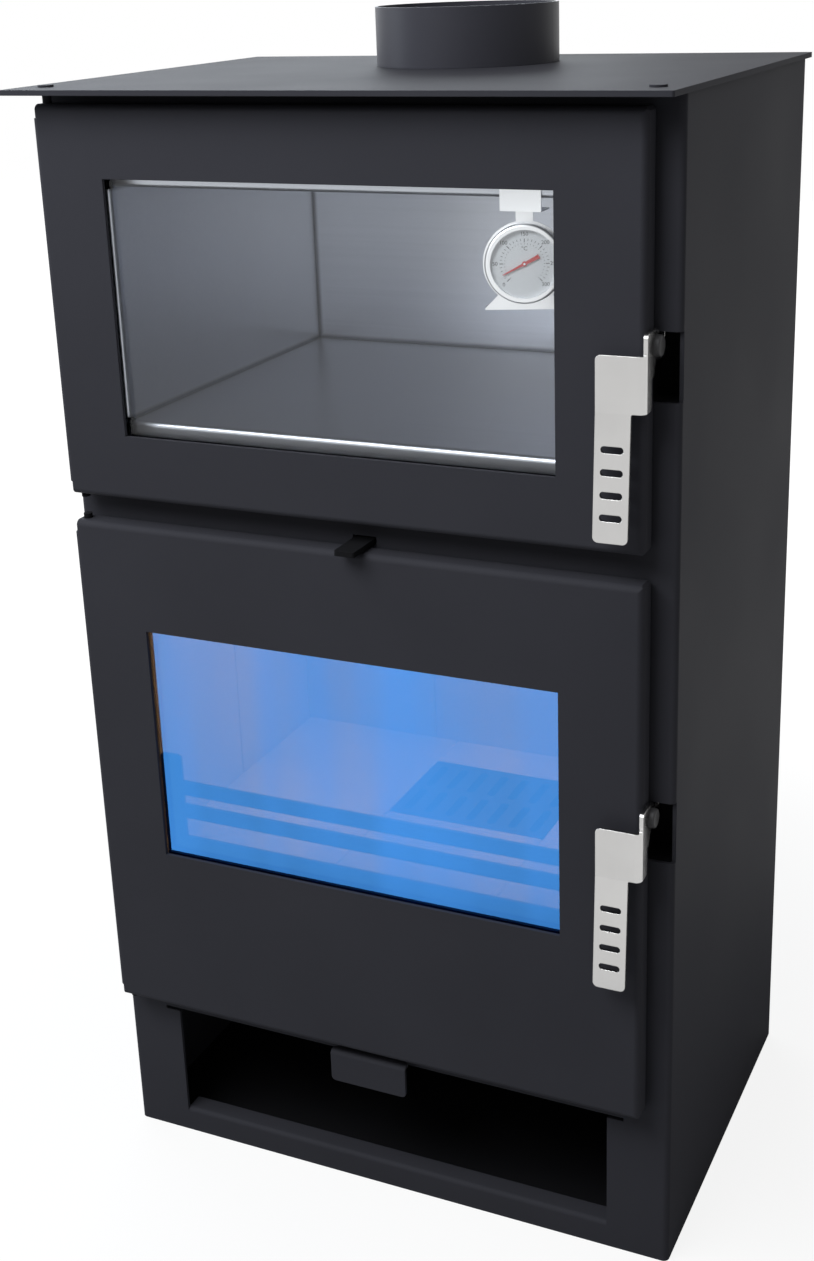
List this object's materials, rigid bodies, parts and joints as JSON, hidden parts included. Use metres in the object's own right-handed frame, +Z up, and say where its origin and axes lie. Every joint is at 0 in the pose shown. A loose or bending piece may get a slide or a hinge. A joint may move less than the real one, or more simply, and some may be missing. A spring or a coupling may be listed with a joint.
{
  "type": "wood-burning stove with oven",
  "caption": "Free-standing black sheet-steel wood-burning stove with an oven above the firebox, glazed doors, nickel lever handles, log niche and top flue collar.",
  "frame": {"origin": "middle of the base, on the floor", "axes": "+Z up, front at -Y, the doors' hinges at -X and their handles at +X"},
  "size_m": [0.52, 0.39, 0.9835],
  "materials": {
    "black_paint": "matt heat-proof paint",
    "dark_steel": "dark bare steel",
    "stainless": "satin stainless sheet",
    "nickel": "bright nickel plate",
    "bright_metal": "smooth bright sheet",
    "white_dial": "white print",
    "red_needle": "red paint",
    "clear_glass": "clear glass",
    "coated_glass": "heat-reflecting coated glass",
    "sealing_rope": "knitted glass-fibre rope",
    "cast_grate": "as cast",
    "firebrick": "pressed mineral board"
  },
  "bodies": {
    "root": {"outer_casing": "black_paint", "back_panel": "black_paint", "base_plate": "black_paint", "top_plate": "black_paint", "flue_collar": "black_paint", "top_plate_screw": "dark_steel", "oven_liner": "stainless", "oven_bracket": "dark_steel", "thermometer_clip": "bright_metal", "thermometer_bracket": "bright_metal", "thermometer_case": "bright_metal", "thermometer_dial": "white_dial", "thermometer_lens": "clear_glass", "oven_upper_lug": "black_paint", "oven_lower_lug": "black_paint", "fire_upper_lug": "black_paint", "fire_lower_lug": "black_paint", "oven_top_pin": "dark_steel", "oven_lower_pin": "dark_steel", "fire_upper_pin": "dark_steel", "fire_lower_pin": "dark_steel", "oven_latch_pocket": "black_paint", "fire_latch_pocket": "black_paint", "niche_ceiling": "black_paint", "primary_slide_rails": "dark_steel", "smoke_shelf": "dark_steel", "damper_guides": "dark_steel", "firebox_floor": "dark_steel", "fire_grate": "cast_grate", "floor_bricks": "firebrick", "left_bricks": "firebrick", "right_bricks": "firebrick", "back_bricks": "firebrick", "baffle_plate": "dark_steel", "log_guard": "dark_steel", "ash_pan": "dark_steel", "ash_pan_runners": "dark_steel"},
    "oven_door": {"oven_door_pan": "black_paint", "oven_seal_channel": "black_paint", "oven_door_seal": "sealing_rope", "oven_door_glass": "clear_glass", "oven_glass_tape": "sealing_rope", "oven_glass_clips": "dark_steel", "oven_clip_screws": "dark_steel", "oven_handle_bolt": "dark_steel"},
    "oven_handle": {"oven_handle": "nickel"},
    "fire_door": {"fire_door_pan": "black_paint", "fire_seal_channel": "black_paint", "fire_door_seal": "sealing_rope", "fire_door_glass": "coated_glass", "fire_glass_tape": "sealing_rope", "fire_glass_clips": "dark_steel", "fire_clip_screws": "dark_steel", "fire_handle_bolt": "dark_steel"},
    "fire_handle": {"fire_handle": "nickel"},
    "smoke_damper": {"smoke_damper": "dark_steel"},
    "primary_air_slide": {"primary_air_slide": "black_paint"},
    "thermometer_needle": {"thermometer_needle": "red_needle"}
  },
  "joints": [
    {"name": "oven_door_hinge", "type": "hinge", "parent": "root", "child": "oven_door", "pos_m": [-0.24, -0.1835, 0.7715], "axis": [0, 0, -1], "range_deg": [0, 110]},
    {"name": "oven_handle_pivot", "type": "hinge", "parent": "oven_door", "child": "oven_handle", "pos_m": [0.2388, -0.1835, 0.7675], "axis": [-1, 0, 0], "range_deg": [0, 55]},
    {"name": "fire_door_hinge", "type": "hinge", "parent": "root", "child": "fire_door", "pos_m": [-0.24, -0.1835, 0.3715], "axis": [0, 0, -1], "range_deg": [0, 110]},
    {"name": "fire_handle_pivot", "type": "hinge", "parent": "fire_door", "child": "fire_handle", "pos_m": [0.2388, -0.1835, 0.411], "axis": [-1, 0, 0], "range_deg": [0, 55]},
    {"name": "damper_pull", "type": "slide", "parent": "root", "child": "smoke_damper", "axis": [0, -1, 0], "range_m": [0, 0.045]},
    {"name": "primary_air_travel", "type": "slide", "parent": "root", "child": "primary_air_slide", "axis": [0, -1, 0], "range_m": [0, 0.04]},
    {"name": "thermometer_needle_turn", "type": "hinge", "parent": "root", "child": "thermometer_needle", "pos_m": [0.1395, -0.1675, 0.816], "axis": [-0.309, 0.9511, 0], "range_deg": [-18, 252]}
  ]
}
